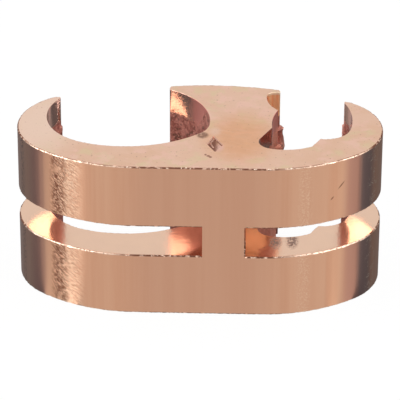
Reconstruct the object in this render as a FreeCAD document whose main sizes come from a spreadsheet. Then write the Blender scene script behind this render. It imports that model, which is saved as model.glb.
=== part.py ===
import FreeCAD, Part
import math
import os
import Sketcher
from types import SimpleNamespace

# E-type compression grounding connector, cut from a drawn copper profile.
#
# It is one piece of copper. Seen from above it is a wide letter E lying on its
# back: a thick spine across the front, a hook curling back at each end, and a
# heavy post in the middle that flares at the back like an anvil. The rod and
# the larger cable lie in the left groove, the smaller cable in the right one,
# and a press closes both hooks. A saw slot from each side, half way up, takes
# cable ties, and leaves one bridge between the upper and the lower band.
#
# The frame: X to the right, Y to the back, Z up along the drawn profile. The
# origin is under the middle of the oval, on the face that the part stands on.

# Driving sizes in millimetres. Places along Y are depths behind the front face.
SIZES = {
    # the oval blank
    "connector_width": 59.0,
    "connector_depth": 28.1,
    "connector_height": 27.0,
    "front_corner_radius": 24.6,
    "hook_outer_radius": 10.7,
    "hook_centre_depth": 13.8,
    "hook_tip_angle": 60.4,
    "tip_radius": 0.4,
    # the head of the post
    "head_left": 5.35,
    "head_right": 12.85,
    "head_crown_radius": 46.8,
    "head_crown_middle": 1.95,
    "head_corner_radius": 0.9,
    # the left groove, for a ground rod, a reinforcing bar or a heavy cable
    "rod_tip_width": 1.39,
    "rod_hook_lead": 6.19,
    "rod_hook_lift": 0.51,
    "rod_spine_wall": 6.75,
    "rod_floor_offset": 2.95,
    "rod_corner_radius": 4.6,
    "post_flank_radius": 11.9,
    "post_flank_place": 1.55,
    "post_flare_depth": 26.2,
    # the right groove, for a small cable
    "wire_spine_wall": 6.55,
    "wire_floor_radius": 8.45,
    "wire_floor_offset": 0.15,
    "wire_pocket_radius": 2.35,
    "wire_pocket_inset": 3.3,
    "wire_pocket_angle": 63.0,
    "ridge_foot_wall": 11.45,
    "ridge_top_wall": 10.1,
    "wire_heel_wall": 10.25,
    "wire_heel_radius": 4.25,
    "wire_tip_width": 0.97,
    "wire_hook_radius": 14.4,
    "wire_hook_lead": 6.35,
    # the two seats in the right flank of the post
    "lip_thickness": 2.35,
    "lip_seat_inset": 2.15,
    "lip_corner_radius": 1.15,
    "lip_seat_radius": 6.0,
    "lip_seat_drop": 0.5,
    "small_seat_radius": 11.8,
    "small_seat_inset": 1.25,
    "small_seat_depth": 15.1,
    "edge_radius": 0.25,
    # the saw slots for cable ties
    "slot_height": 5.3,
    "slot_floor": 10.85,
    "bridge_left": 0.8,
    "bridge_right": 7.5,
}
CLEAR = 3.0  # how far a cut runs past the metal
SEAT_CLEAR = 0.5  # and a seat's cut past the post's flank, short of the floor
NEAR = 0.01  # places this close are the same place
SHARP = 8.0  # degrees between two walls from which their edge is a corner
size = SimpleNamespace(**SIZES)

document = FreeCAD.newDocument("grounding_connector")
sheet = document.addObject("Spreadsheet::Sheet", "Sizes")
for row, (word, millimetres) in enumerate(SIZES.items(), start=1):
    sheet.set(f"A{row}", word)
    sheet.set(f"B{row}", str(millimetres))
    sheet.setAlias(f"B{row}", word)
document.recompute()

body = document.addObject("PartDesign::Body", "connector_body")
body.Label = "connector_body"


def origin_plane(role):
    return next(item for item in body.Origin.OriginFeatures if item.Role == role)


def new_sketch(name, role="XY_Plane"):
    sketch = body.newObject("Sketcher::SketchObject", name)
    sketch.AttachmentSupport = [(origin_plane(role), "")]
    sketch.MapMode = "FlatFace"
    return sketch


# Sketch helpers. A point is an (x, y) pair in the plane of the sketch.
START, END, CENTRE = 1, 2, 3
ORIGIN = (-1, 1)
X_AXIS = -1


def add_line(sketch, start, end):
    points = FreeCAD.Vector(*start, 0), FreeCAD.Vector(*end, 0)
    return sketch.addGeometry(Part.LineSegment(*points), False)


def add_arc(sketch, centre, radius, start, end):
    """An arc that runs counter-clockwise from start to end round its centre."""
    circle = Part.Circle(FreeCAD.Vector(*centre, 0), FreeCAD.Vector(0, 0, 1), radius)
    angles = [math.atan2(y - centre[1], x - centre[0]) for x, y in (start, end)]
    if angles[1] < angles[0]:
        angles[1] += 2 * math.pi
    return sketch.addGeometry(Part.ArcOfCircle(circle, *angles), False)


def smooth(sketch, *joints):
    """Join ends so that one curve runs on into the next."""
    for first, first_point, second, second_point in joints:
        sketch.addConstraint(
            Sketcher.Constraint("Tangent", first, first_point, second, second_point)
        )


def meet(sketch, *joints):
    for first, first_point, second, second_point in joints:
        sketch.addConstraint(
            Sketcher.Constraint("Coincident", first, first_point, second, second_point)
        )


def upright(sketch, *lines):
    for line in lines:
        sketch.addConstraint(Sketcher.Constraint("Vertical", line))


def level(sketch, *lines):
    for line in lines:
        sketch.addConstraint(Sketcher.Constraint("Horizontal", line))


def bind(sketch, constraint, formula):
    """Add a constraint whose value follows a formula in the sheet's words."""
    number = sketch.addConstraint(constraint)
    sketch.renameConstraint(number, f"size_{number}")
    words = [f"Sizes.{word}" if word in SIZES else word for word in formula.split()]
    sketch.setExpression(f"Constraints.size_{number}", " ".join(words))


def place_x(sketch, geometry, point, formula):
    here = sketch.getPoint(geometry, point).x
    bind(sketch, Sketcher.Constraint("DistanceX", *ORIGIN, geometry, point, here), formula)


def place_y(sketch, geometry, point, formula):
    here = sketch.getPoint(geometry, point).y
    bind(sketch, Sketcher.Constraint("DistanceY", *ORIGIN, geometry, point, here), formula)


def radius(sketch, geometry, formula):
    here = sketch.Geometry[geometry].Radius
    bind(sketch, Sketcher.Constraint("Radius", geometry, here), formula)


# Plane geometry for the first guess of each sketch; its constraints then hold it.
def mirrored(point):
    return (-point[0], point[1])


def onward(start, through, length):
    """The point at a length from start, in line with another point."""
    reach = math.dist(start, through)
    return tuple(a + (b - a) * length / reach for a, b in zip(start, through))


def leg(long_side, short_side):
    """The third side of a right triangle."""
    return math.sqrt(long_side**2 - short_side**2)


def inner_centre(first, first_reach, second, second_reach):
    """The point at given distances from two others, to the left of the way between."""
    gap = math.dist(first, second)
    ahead = (gap**2 + first_reach**2 - second_reach**2) / (2 * gap)
    aside = leg(first_reach, ahead)
    way = [(b - a) / gap for a, b in zip(first, second)]
    return (first[0] + ahead * way[0] - aside * way[1], first[1] + ahead * way[1] + aside * way[0])


# The hooks end at one reach, where a ray from the outer centre meets the outside.
TIP_ANGLE = math.radians(size.hook_tip_angle)
HOOK_X = size.connector_width / 2 - size.hook_outer_radius
FRONT = -size.connector_depth / 2
BACK = size.connector_depth / 2
REACH = FRONT + size.hook_centre_depth + size.hook_outer_radius * math.sin(TIP_ANGLE)
TIP_X = HOOK_X + size.hook_outer_radius * math.cos(TIP_ANGLE)
BEYOND = BACK + CLEAR
CROWN = (size.head_crown_middle, BACK - size.head_crown_radius)
FRONT_FORMULA = "- connector_depth / 2"
HOOK_X_FORMULA = "connector_width / 2 - hook_outer_radius"
REACH_FORMULA = f"hook_centre_depth + hook_outer_radius * sin( hook_tip_angle ) {FRONT_FORMULA}"
TIP_X_FORMULA = f"{HOOK_X_FORMULA} + hook_outer_radius * cos( hook_tip_angle )"
BEYOND_FORMULA = f"connector_depth / 2 + {CLEAR}"


def draw_oval(sketch):
    """The outside of the profile, closed across the two hook tips."""
    hook = (HOOK_X, FRONT + size.hook_centre_depth)
    corner_y = FRONT + size.front_corner_radius
    offset = leg(size.front_corner_radius - size.hook_outer_radius, corner_y - hook[1])
    corner = (hook[0] - offset, corner_y)
    joint = onward(corner, hook, size.front_corner_radius)
    tip = (TIP_X, REACH)
    edge = (corner[0], FRONT)

    face = add_line(sketch, mirrored(edge), edge)
    right_corner = add_arc(sketch, corner, size.front_corner_radius, edge, joint)
    right_hook = add_arc(sketch, hook, size.hook_outer_radius, joint, tip)
    chord = add_line(sketch, tip, mirrored(tip))
    left_hook = add_arc(
        sketch, mirrored(hook), size.hook_outer_radius, mirrored(tip), mirrored(joint)
    )
    left_corner = add_arc(
        sketch, mirrored(corner), size.front_corner_radius, mirrored(joint), mirrored(edge)
    )

    smooth(
        sketch,
        (face, END, right_corner, START),
        (right_corner, END, right_hook, START),
        (left_hook, END, left_corner, START),
        (left_corner, END, face, START),
    )
    meet(sketch, (right_hook, END, chord, START), (chord, END, left_hook, START))
    level(sketch, face, chord)
    place_y(sketch, face, START, FRONT_FORMULA)
    place_y(sketch, chord, START, REACH_FORMULA)
    for corner_arc, hook_arc, side in (
        (right_corner, right_hook, ""),
        (left_corner, left_hook, "- "),
    ):
        radius(sketch, corner_arc, "front_corner_radius")
        radius(sketch, hook_arc, "hook_outer_radius")
        place_x(sketch, hook_arc, CENTRE, f"{side}( {HOOK_X_FORMULA} )")
        place_y(sketch, hook_arc, CENTRE, f"hook_centre_depth {FRONT_FORMULA}")


def draw_head(sketch):
    """The flared head of the post, from the middle of the blank to its crown."""
    left_top, right_top = (
        (side, CROWN[1] + leg(size.head_crown_radius, side - CROWN[0]))
        for side in (-size.head_left, size.head_right)
    )
    left_foot, right_foot = (left_top[0], 0), (right_top[0], 0)

    foot = add_line(sketch, left_foot, right_foot)
    right_side = add_line(sketch, right_foot, right_top)
    back = add_arc(sketch, CROWN, size.head_crown_radius, right_top, left_top)
    left_side = add_line(sketch, left_top, left_foot)

    meet(
        sketch,
        (foot, END, right_side, START),
        (right_side, END, back, START),
        (back, END, left_side, START),
        (left_side, END, foot, START),
    )
    level(sketch, foot)
    upright(sketch, left_side, right_side)
    sketch.addConstraint(Sketcher.Constraint("PointOnObject", foot, START, X_AXIS))
    place_x(sketch, left_side, END, "- head_left")
    place_x(sketch, right_side, START, "head_right")
    radius(sketch, back, "head_crown_radius")
    place_x(sketch, back, CENTRE, "head_crown_middle")
    place_y(sketch, back, CENTRE, "connector_depth / 2 - head_crown_radius")


def draw_rod_groove(sketch):
    """The left groove: inside of the hook, floor, corner and flank of the post."""
    # The hook's circle stays clear of the floor's lowest line by the lift, and the
    # floor's circle touches that line and the hook's circle.
    lowest = FRONT + size.rod_spine_wall
    hook_y = REACH - size.rod_hook_lead
    hook_radius = hook_y - lowest - size.rod_hook_lift
    spread = size.rod_floor_offset**2 / (2 * size.rod_hook_lift)
    floor_radius = hook_radius + size.rod_hook_lift / 2 + spread
    tip = (size.rod_tip_width - TIP_X, REACH)
    hook = (tip[0] + leg(hook_radius, size.rod_hook_lead), hook_y)
    floor = (hook[0] + size.rod_floor_offset, lowest + floor_radius)
    flare = (-size.head_left, FRONT + size.post_flare_depth)
    flank_x = size.post_flank_place - size.post_flank_radius
    flank = (flank_x, flare[1] - leg(size.post_flank_radius, flare[0] - flank_x))
    corner = inner_centre(
        floor,
        floor_radius - size.rod_corner_radius,
        flank,
        size.post_flank_radius - size.rod_corner_radius,
    )
    hook_floor = onward(floor, hook, floor_radius)
    floor_corner = onward(floor, corner, floor_radius)
    corner_flank = onward(flank, corner, size.post_flank_radius)

    hook_arc = add_arc(sketch, hook, hook_radius, tip, hook_floor)
    floor_arc = add_arc(sketch, floor, floor_radius, hook_floor, floor_corner)
    corner_arc = add_arc(sketch, corner, size.rod_corner_radius, floor_corner, corner_flank)
    flank_arc = add_arc(sketch, flank, size.post_flank_radius, corner_flank, flare)
    out = add_line(sketch, flare, (flare[0], BEYOND))
    across = add_line(sketch, (flare[0], BEYOND), (tip[0], BEYOND))
    back = add_line(sketch, (tip[0], BEYOND), tip)

    smooth(
        sketch,
        (hook_arc, END, floor_arc, START),
        (floor_arc, END, corner_arc, START),
        (corner_arc, END, flank_arc, START),
    )
    meet(
        sketch,
        (flank_arc, END, out, START),
        (out, END, across, START),
        (across, END, back, START),
        (back, END, hook_arc, START),
    )
    upright(sketch, out, back)
    level(sketch, across)
    hook_size = f"{REACH_FORMULA} - rod_hook_lead - rod_spine_wall + connector_depth / 2"
    spread_formula = "rod_floor_offset ^ 2 / ( 2 * rod_hook_lift )"
    radius(sketch, hook_arc, f"{hook_size} - rod_hook_lift")
    radius(sketch, floor_arc, f"{hook_size} - rod_hook_lift / 2 + {spread_formula}")
    radius(sketch, corner_arc, "rod_corner_radius")
    radius(sketch, flank_arc, "post_flank_radius")
    place_x(sketch, hook_arc, START, f"rod_tip_width - ( {TIP_X_FORMULA} )")
    place_y(sketch, hook_arc, START, REACH_FORMULA)
    offset = Sketcher.Constraint(
        "DistanceX", hook_arc, CENTRE, floor_arc, CENTRE, size.rod_floor_offset
    )
    bind(sketch, offset, "rod_floor_offset")
    place_y(sketch, hook_arc, CENTRE, f"{REACH_FORMULA} - rod_hook_lead")
    place_x(sketch, flank_arc, CENTRE, "post_flank_place - post_flank_radius")
    place_x(sketch, flank_arc, END, "- head_left")
    place_y(sketch, flank_arc, END, f"post_flare_depth {FRONT_FORMULA}")
    place_y(sketch, out, END, BEYOND_FORMULA)


def draw_wire_groove(sketch):
    """The right groove: flank, pocket and floor, a ridge, and inside of the hook."""
    lean = math.radians(size.wire_pocket_angle)
    side = size.connector_width / 2
    wall_x = size.head_right - size.wire_pocket_inset
    foot_x = side - size.ridge_foot_wall
    floor_x = (wall_x + foot_x) / 2 - size.wire_floor_offset
    floor = (floor_x, FRONT + size.wire_spine_wall + size.wire_floor_radius)
    pocket_x = wall_x + size.wire_pocket_radius
    drop = leg(size.wire_floor_radius - size.wire_pocket_radius, floor[0] - pocket_x)
    pocket = (pocket_x, floor[1] - drop)
    shoulder = (
        pocket[0] - size.wire_pocket_radius * math.sin(lean),
        pocket[1] + size.wire_pocket_radius * math.cos(lean),
    )
    rise = (size.head_right - shoulder[0]) * math.tan(lean)
    slope_top = (size.head_right, shoulder[1] + rise)
    pocket_floor = onward(floor, pocket, size.wire_floor_radius)
    ridge_foot = (foot_x, floor[1] - leg(size.wire_floor_radius, foot_x - floor[0]))

    tip = (TIP_X - size.wire_tip_width, REACH)
    hook = (tip[0] - leg(size.wire_hook_radius, size.wire_hook_lead), REACH - size.wire_hook_lead)
    heel_y = FRONT + size.wire_heel_wall + size.wire_heel_radius
    reach = leg(size.wire_hook_radius - size.wire_heel_radius, heel_y - hook[1])
    heel = (hook[0] + reach, heel_y)
    top_x = side - size.ridge_top_wall
    ridge_top = (top_x, heel[1] - leg(size.wire_heel_radius, top_x - heel[0]))
    heel_hook = onward(hook, heel, size.wire_hook_radius)

    slope = add_line(sketch, shoulder, slope_top)
    pocket_arc = add_arc(sketch, pocket, size.wire_pocket_radius, shoulder, pocket_floor)
    floor_arc = add_arc(sketch, floor, size.wire_floor_radius, pocket_floor, ridge_foot)
    ridge = add_line(sketch, ridge_foot, ridge_top)
    heel_arc = add_arc(sketch, heel, size.wire_heel_radius, ridge_top, heel_hook)
    hook_arc = add_arc(sketch, hook, size.wire_hook_radius, heel_hook, tip)
    back = add_line(sketch, tip, (tip[0], BEYOND))
    across = add_line(sketch, (tip[0], BEYOND), (slope_top[0], BEYOND))
    flank = add_line(sketch, (slope_top[0], BEYOND), slope_top)

    smooth(
        sketch,
        (slope, START, pocket_arc, START),
        (pocket_arc, END, floor_arc, START),
        (heel_arc, END, hook_arc, START),
    )
    meet(
        sketch,
        (floor_arc, END, ridge, START),
        (ridge, END, heel_arc, START),
        (hook_arc, END, back, START),
        (back, END, across, START),
        (across, END, flank, START),
        (flank, END, slope, END),
    )
    upright(sketch, back, flank)
    level(sketch, across)
    bind(sketch, Sketcher.Constraint("Angle", slope, lean), "wire_pocket_angle")
    radius(sketch, pocket_arc, "wire_pocket_radius")
    radius(sketch, floor_arc, "wire_floor_radius")
    radius(sketch, heel_arc, "wire_heel_radius")
    radius(sketch, hook_arc, "wire_hook_radius")
    wall_formula = "head_right - wire_pocket_inset"
    foot_formula = "connector_width / 2 - ridge_foot_wall"
    place_x(sketch, pocket_arc, CENTRE, f"{wall_formula} + wire_pocket_radius")
    middle_formula = f"( {wall_formula} + {foot_formula} ) / 2"
    place_x(sketch, floor_arc, CENTRE, f"{middle_formula} - wire_floor_offset")
    place_y(sketch, floor_arc, CENTRE, f"wire_spine_wall + wire_floor_radius {FRONT_FORMULA}")
    place_x(sketch, floor_arc, END, foot_formula)
    place_x(sketch, heel_arc, START, "connector_width / 2 - ridge_top_wall")
    place_y(sketch, heel_arc, CENTRE, f"wire_heel_wall + wire_heel_radius {FRONT_FORMULA}")
    place_y(sketch, hook_arc, CENTRE, f"{REACH_FORMULA} - wire_hook_lead")
    place_x(sketch, hook_arc, END, f"{TIP_X_FORMULA} - wire_tip_width")
    place_y(sketch, hook_arc, END, REACH_FORMULA)
    place_x(sketch, flank, START, "head_right")
    place_y(sketch, flank, START, BEYOND_FORMULA)


LIP_Y = BACK - size.lip_thickness
LIP_FORMULA = "connector_depth / 2 - lip_thickness"


def lip_corner_centre():
    corner_x = size.head_right - size.lip_seat_inset + size.lip_corner_radius
    return (corner_x, LIP_Y - size.lip_corner_radius)


def lip_seat_centre():
    corner = lip_corner_centre()
    offset = leg(size.lip_seat_radius - size.lip_corner_radius, size.lip_seat_drop)
    return (corner[0] + offset, corner[1] - size.lip_seat_drop)


def draw_lip_seat(sketch):
    """The seat under the lip at the back of the right flank."""
    corner, seat = lip_corner_centre(), lip_seat_centre()
    joint = onward(seat, corner, size.lip_seat_radius)
    outside = size.head_right + SEAT_CLEAR
    seat_end = (outside, seat[1] - leg(size.lip_seat_radius, outside - seat[0]))

    lip = add_line(sketch, (outside, LIP_Y), (corner[0], LIP_Y))
    corner_arc = add_arc(sketch, corner, size.lip_corner_radius, (corner[0], LIP_Y), joint)
    seat_arc = add_arc(sketch, seat, size.lip_seat_radius, joint, seat_end)
    close = add_line(sketch, seat_end, (outside, LIP_Y))

    smooth(sketch, (lip, END, corner_arc, START), (corner_arc, END, seat_arc, START))
    meet(sketch, (seat_arc, END, close, START), (close, END, lip, START))
    level(sketch, lip)
    upright(sketch, close)
    radius(sketch, corner_arc, "lip_corner_radius")
    radius(sketch, seat_arc, "lip_seat_radius")
    place_x(sketch, corner_arc, CENTRE, "head_right - lip_seat_inset + lip_corner_radius")
    place_y(sketch, lip, START, LIP_FORMULA)
    place_y(sketch, seat_arc, CENTRE, f"{LIP_FORMULA} - lip_corner_radius - lip_seat_drop")
    place_x(sketch, seat_arc, END, f"head_right + {SEAT_CLEAR}")


def draw_small_seat(sketch):
    """The shallow seat between the lip and the pocket."""
    centre_x = size.head_right - size.small_seat_inset + size.small_seat_radius
    centre = (centre_x, FRONT + size.small_seat_depth)
    outside = size.head_right + SEAT_CLEAR
    half = leg(size.small_seat_radius, outside - centre[0])
    upper, lower = (outside, centre[1] + half), (outside, centre[1] - half)

    seat_arc = add_arc(sketch, centre, size.small_seat_radius, upper, lower)
    close = add_line(sketch, lower, upper)

    meet(sketch, (seat_arc, END, close, START), (close, END, seat_arc, START))
    upright(sketch, close)
    radius(sketch, seat_arc, "small_seat_radius")
    place_x(sketch, seat_arc, CENTRE, "head_right - small_seat_inset + small_seat_radius")
    place_y(sketch, seat_arc, CENTRE, f"small_seat_depth {FRONT_FORMULA}")
    place_x(sketch, close, START, f"head_right + {SEAT_CLEAR}")


def draw_slots(sketch):
    """Two saw slots that stop short of each other and leave the bridge."""
    low, high = size.slot_floor, size.slot_floor + size.slot_height
    end = size.connector_width / 2 + CLEAR
    end_formula = f"connector_width / 2 + {CLEAR}"
    for left, left_formula, right, right_formula in (
        (-end, f"- ( {end_formula} )", size.bridge_left, "bridge_left"),
        (size.bridge_right, "bridge_right", end, end_formula),
    ):
        corners = [(left, low), (right, low), (right, high), (left, high)]
        floor, right_end, roof, left_end = (
            add_line(sketch, corners[i], corners[(i + 1) % 4]) for i in range(4)
        )
        meet(
            sketch,
            (floor, END, right_end, START),
            (right_end, END, roof, START),
            (roof, END, left_end, START),
            (left_end, END, floor, START),
        )
        level(sketch, floor, roof)
        upright(sketch, right_end, left_end)
        place_x(sketch, floor, START, left_formula)
        place_x(sketch, roof, START, right_formula)
        place_y(sketch, floor, START, "slot_floor")
        place_y(sketch, roof, START, "slot_floor + slot_height")


# Features
def check_sketch(sketch):
    document.recompute()
    state = sketch.solve()
    if state != 0 or not sketch.FullyConstrained:
        raise RuntimeError(f"{sketch.Name}: solver says {state}")


def pad(name, draw):
    """Raise a profile from the foot plane to the full height."""
    sketch = new_sketch(name + "_sketch")
    draw(sketch)
    check_sketch(sketch)
    feature = body.newObject("PartDesign::Pad", name)
    feature.Profile = sketch
    feature.setExpression("Length", "Sizes.connector_height")
    document.recompute()


def pocket(name, draw, role="XY_Plane"):
    """Cut a profile right through, up from the foot plane or both ways."""
    before = body.Shape.Volume
    sketch = new_sketch(name + "_sketch", role)
    draw(sketch)
    check_sketch(sketch)
    feature = body.newObject("PartDesign::Pocket", name)
    feature.Profile = sketch
    feature.Type = "ThroughAll"
    if role == "XY_Plane":
        feature.Reversed = True
    else:
        feature.Midplane = True
    document.recompute()
    cut = before - body.Shape.Volume
    if cut < 1.0:
        raise RuntimeError(f"{name} cuts nothing")
    print(f"{name}: {cut:.0f} mm3 cut away")


def sharp_uprights(shape):
    """The upright edges where two walls meet at a corner."""
    found = []
    for number, edge in enumerate(shape.Edges, start=1):
        ends = [vertex.Point for vertex in edge.Vertexes]
        if len(ends) != 2 or math.dist(ends[0][:2], ends[1][:2]) > NEAR:
            continue
        middle = (ends[0] + ends[1]) / 2
        walls = shape.ancestorsOfType(edge, Part.Face)
        normals = [wall.normalAt(*wall.Surface.parameter(middle)) for wall in walls]
        if math.degrees(normals[0].getAngle(normals[1])) > SHARP:
            found.append((f"Edge{number}", middle))
    return found


def round_edges(name, formula, wanted):
    """Round the sharp upright edges that pass a test on their place."""
    picked = [edge for edge, place in sharp_uprights(body.Shape) if wanted(place)]
    feature = body.newObject("PartDesign::Fillet", name)
    feature.Base = (feature.BaseFeature or body.Tip, picked)
    feature.setExpression("Radius", formula)
    document.recompute()
    print(f"{name}: {len(picked)} edges")


pad("oval_blank", draw_oval)
pad("post_head", draw_head)
pocket("rod_groove", draw_rod_groove)
pocket("wire_groove", draw_wire_groove)
pocket("lip_seat", draw_lip_seat)
pocket("small_seat", draw_small_seat)

# The drawn profile has soft corners along its length, but the saw leaves its own
# edges sharp, so only upright edges are rounded. The seam between the two seats
# stays sharp too.
def is_hook_tip(place):
    return abs(place.y - REACH) < NEAR


def is_head_corner(place):
    return abs(math.dist(place[:2], CROWN) - size.head_crown_radius) < NEAR


def is_seam(place):
    return abs(math.dist(place[:2], lip_seat_centre()) - size.lip_seat_radius) < NEAR


round_edges("tip_rounds", "Sizes.tip_radius", is_hook_tip)
round_edges("head_rounds", "Sizes.head_corner_radius", is_head_corner)
round_edges("edge_rounds", "Sizes.edge_radius", lambda place: not is_seam(place))
pocket("tie_slots", draw_slots, "XZ_Plane")

# Check every object of the document before anything is written.
for item in document.Objects:
    if "Invalid" in item.State or "Error" in item.State:
        raise RuntimeError(f"{item.Name} failed: {item.State}")
shape = body.Shape
if shape.isNull() or not shape.isValid() or len(shape.Solids) != 1:
    raise RuntimeError("connector_body is not one valid solid")

COPPER = 8.96e-6  # kilograms for each cubic millimetre
print(f"connector_body: {shape.Volume:.0f} mm3, {shape.Volume * COPPER:.4f} kg of copper")
print("box:", shape.BoundBox)

os.makedirs("parts", exist_ok=True)
shape.exportStep("parts/connector_body.step")
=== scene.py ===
# %% [markdown]
# # An E-type grounding connector in bare copper
# The real object is one piece: a copper bar is drawn through a die shaped like a
# wide letter E, sawn to length, and slotted from both sides for cable ties. The
# CAD model holds that shape exactly. This notebook gives it what a photograph
# shows on top: ragged sawn edges, rubbed and scratched copper, and studio light.

import math

import bmesh
import bpy
from mathutils import Matrix, Vector, noise
from mathutils.geometry import intersect_point_line


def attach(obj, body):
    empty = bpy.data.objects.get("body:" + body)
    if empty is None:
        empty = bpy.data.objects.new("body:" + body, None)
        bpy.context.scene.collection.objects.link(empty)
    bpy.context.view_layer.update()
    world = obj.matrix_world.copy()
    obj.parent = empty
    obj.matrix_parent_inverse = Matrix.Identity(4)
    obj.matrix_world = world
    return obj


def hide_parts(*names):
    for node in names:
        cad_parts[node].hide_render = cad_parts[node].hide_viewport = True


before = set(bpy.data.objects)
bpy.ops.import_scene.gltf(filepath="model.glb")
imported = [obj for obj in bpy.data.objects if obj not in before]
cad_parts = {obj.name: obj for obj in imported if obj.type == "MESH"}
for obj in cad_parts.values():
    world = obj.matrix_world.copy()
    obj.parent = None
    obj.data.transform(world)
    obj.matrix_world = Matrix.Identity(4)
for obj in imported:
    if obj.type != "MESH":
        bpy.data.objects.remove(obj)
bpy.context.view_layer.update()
MM = 0.001

# %% [markdown]
# The visible piece starts from the CAD mesh, because its arcs are already right.
# That mesh is loose triangles, so a copy is merged, and triangles in one plane are
# dissolved into whole faces. What is left is what an engineer would draw: level
# faces where the saw went, and upright faces where the die shaped the bar.

# %% Copy the connector into a clean mesh
CAD_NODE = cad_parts["connector_body"]
MERGE = 0.04 * MM
FLAT = math.radians(0.5)

connector = bmesh.new()
connector.from_mesh(CAD_NODE.data)
bmesh.ops.remove_doubles(connector, verts=connector.verts, dist=MERGE)
bmesh.ops.dissolve_limit(
    connector, angle_limit=FLAT, verts=connector.verts, edges=connector.edges
)
levels = sorted({round(vertex.co.z / MM, 2) * MM for vertex in connector.verts})
FOOT, SLOT_FLOOR, SLOT_ROOF, TOP = levels
print("faces:", len(connector.faces), "levels in mm:", [round(z / MM, 2) for z in levels])

# %% [markdown]
# The front is still one H-shaped face. Cutting it at the two slot levels makes
# every wall a four-sided face, one for each band and one for the bridge, and
# four-sided walls divide into neat columns. The cut also needs the edges and points
# of the faces, and a set holds each of them once.

# %% Cut the walls at the slot levels
ON_PLANE = 0.01 * MM
UPWARDS = (0, 0, 1)


def cut_across(mesh, faces, place, direction):
    edges = {edge for face in faces for edge in face.edges}
    points = {vertex for face in faces for vertex in face.verts}
    bmesh.ops.bisect_plane(
        mesh, geom=[*faces, *edges, *points], plane_co=place, plane_no=direction, dist=ON_PLANE
    )


for z in (SLOT_FLOOR, SLOT_ROOF):
    cut_across(connector, connector.faces[:], (0, 0, z), UPWARDS)
print("faces after the cuts:", len(connector.faces))

# %% [markdown]
# A saw leaves an edge that wavers every few tenths of a millimetre. To move it,
# the edge needs points that close together, so each level edge is divided by its
# own length. The edges above and below one another are equally long and get the
# same points.

# %% Divide the level edges finely
EDGE_STEP = 0.3 * MM
SAME = 0.001 * MM


def is_level(edge):
    return abs(edge.verts[0].co.z - edge.verts[1].co.z) < SAME


by_cuts = {}
for edge in connector.edges:
    if is_level(edge):
        cuts = round(edge.calc_length() / EDGE_STEP) - 1
        if cuts > 0:
            by_cuts.setdefault(cuts, []).append(edge)
for cuts, edges in sorted(by_cuts.items()):
    alive = [edge for edge in edges if edge.is_valid]
    bmesh.ops.subdivide_edges(connector, edges=alive, cuts=cuts)
print("faces after dividing:", len(connector.faces))

# %% [markdown]
# The saw ran clean round the two grooves and tore the edge everywhere else, so the
# edges come in two kinds. A wall belongs to a groove if it looks towards the middle
# of the connector, or if it is a side of the middle post. The post's crowned head
# looks straight back and counts as outside.

# %% Find the sawn edges
MIDDLE_Y = 2 * MM
POST_X = 4 * MM
POST_REACH = 11 * MM
SPINE_BACK = -9 * MM
STRAIGHT_BACK = 0.8
LEVEL_NORMAL = 0.9


def is_level_face(face):
    return abs(face.normal.z) > LEVEL_NORMAL


def in_groove(wall):
    place, facing = wall.calc_center_median(), wall.normal
    outward = facing.x * place.x + facing.y * (place.y - MIDDLE_Y)
    near_post = abs(place.x - POST_X) < POST_REACH and place.y > SPINE_BACK
    return outward < 0 or (near_post and facing.y < STRAIGHT_BACK)


def sawn_edges(mesh, groove, done):
    mesh.normal_update()
    found = []
    for edge in mesh.edges:
        walls = [face for face in edge.link_faces if not is_level_face(face)]
        if is_level(edge) and len(walls) == 1 and in_groove(walls[0]) == groove:
            if done.isdisjoint(edge.link_faces):
                found.append(edge)
    return found


for groove in (False, True):
    edges = sawn_edges(connector, groove, set())
    print("sawn edges in a groove:" if groove else "sawn edges outside:", len(edges))

# %% [markdown]
# The saw leaves a narrow rolled lip where it comes out of the copper. A bevel with
# three segments gives that lip its round back, and catches the light as a thin
# bright line. A profile of 0.5 is a plain quarter circle. Clamping is off, because
# it would shrink every lip to suit the one shortest edge of the mesh. In the
# grooves the lip is finer.

# %% Turn the sawn edges into narrow lips
LIP = 0.21 * MM
FINE_LIP = 0.05 * MM

lips = {}
for groove, width in ((False, LIP), (True, FINE_LIP)):
    bevel = bmesh.ops.bevel(
        connector,
        geom=sawn_edges(connector, groove, set(lips)),
        offset=width,
        offset_type="OFFSET",
        segments=3,
        profile=0.5,
        affect="EDGES",
        clamp_overlap=False,
        material=-1,
    )
    lips = {face: kind for face, kind in lips.items() if face.is_valid}
    lips.update({face: groove for face in bevel["faces"]})
    print("lip faces in a groove:" if groove else "lip faces outside:", len(bevel["faces"]))

# %% [markdown]
# A clean bevel looks machined. Noise moves each point of the lip in or out, mostly
# by a few hundredths of a millimetre, and more strongly towards the two ends of the
# front, where the photograph shows the saw tearing the edge. The noise reads the
# point's own place, so every run gives the same edge. A second, finer noise only
# cuts inwards, which gives small chips. A point that a flat face also uses only
# slides within that face, because a face pushed out of its plane would mirror the
# studio like a dented tray.

# %% Make the lips ragged
LIP_WAVE = 0.55 * MM
LIP_CHIP = 0.3 * MM
CHIP_PLACE = Vector((7, 3, 5))
CHIP_LEVEL = 0.12
CHIP_DEPTH = 2.5
SPINE_END = 24 * MM
RAGGED = 0.045 * MM
MORE_AT_ENDS = 0.02 * MM


def raggedness(place):
    reach = min(1, abs(place.x) / SPINE_END)
    return RAGGED + MORE_AT_ENDS * reach**2


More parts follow.
